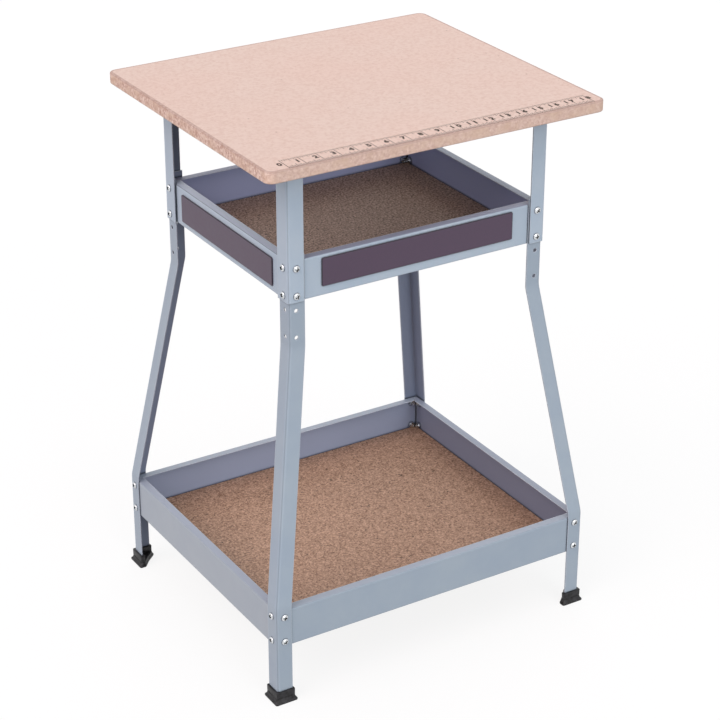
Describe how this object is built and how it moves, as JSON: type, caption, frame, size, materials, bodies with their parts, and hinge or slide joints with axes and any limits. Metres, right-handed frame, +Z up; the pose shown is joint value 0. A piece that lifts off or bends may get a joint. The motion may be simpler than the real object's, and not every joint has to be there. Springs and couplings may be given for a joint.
{
  "type": "height-adjustable workbench",
  "caption": "Free-standing workbench: fibreboard top with a printed inch rule, nested angle-steel legs that bolt at two heights, two open tool trays and rubber feet.",
  "frame": {"origin": "on the floor, under the middle of the top board", "axes": "+Z up, +X along the ruler edge of the top, towards the high numbers, -Y at the front, where the ruler is"},
  "size_m": [0.5138, 0.4478, 0.772],
  "materials": {
    "fibreboard": "sanded bare fibreboard",
    "hardboard": "smooth side of pressed hardboard",
    "painted_steel": "satin blue-grey powder coat",
    "magnetic_strip": "matt flexible magnet",
    "black_rubber": "matt moulded rubber",
    "zinc_plate": "bright zinc plate"
  },
  "bodies": {
    "lower_frame": {"lower_leg_front_left": "painted_steel", "lower_leg_front_right": "painted_steel", "lower_leg_rear_left": "painted_steel", "lower_leg_rear_right": "painted_steel", "lower_tray_front_panel": "painted_steel", "lower_tray_rear_panel": "painted_steel", "lower_tray_left_panel": "painted_steel", "lower_tray_right_panel": "painted_steel", "lower_tray_hardboard": "hardboard", "foot_front_left": "black_rubber", "foot_front_right": "black_rubber", "foot_rear_left": "black_rubber", "foot_rear_right": "black_rubber", "lower_tray_bolts": "zinc_plate", "lower_tray_nuts": "zinc_plate"},
    "upper_frame": {"top_board": "fibreboard", "upper_leg_front_left": "painted_steel", "upper_leg_front_right": "painted_steel", "upper_leg_rear_left": "painted_steel", "upper_leg_rear_right": "painted_steel", "upper_tray_front_panel": "painted_steel", "upper_tray_rear_panel": "painted_steel", "upper_tray_left_panel": "painted_steel", "upper_tray_right_panel": "painted_steel", "upper_tray_hardboard": "hardboard", "magnetic_strip_front": "magnetic_strip", "magnetic_strip_left": "magnetic_strip", "lap_bolts": "zinc_plate", "lap_nuts": "zinc_plate", "top_screws": "zinc_plate"}
  },
  "joints": [
    {"name": "height_adjust", "type": "slide", "parent": "lower_frame", "child": "upper_frame", "axis": [0, 0, 1], "range_m": [-0.059, 0]}
  ]
}
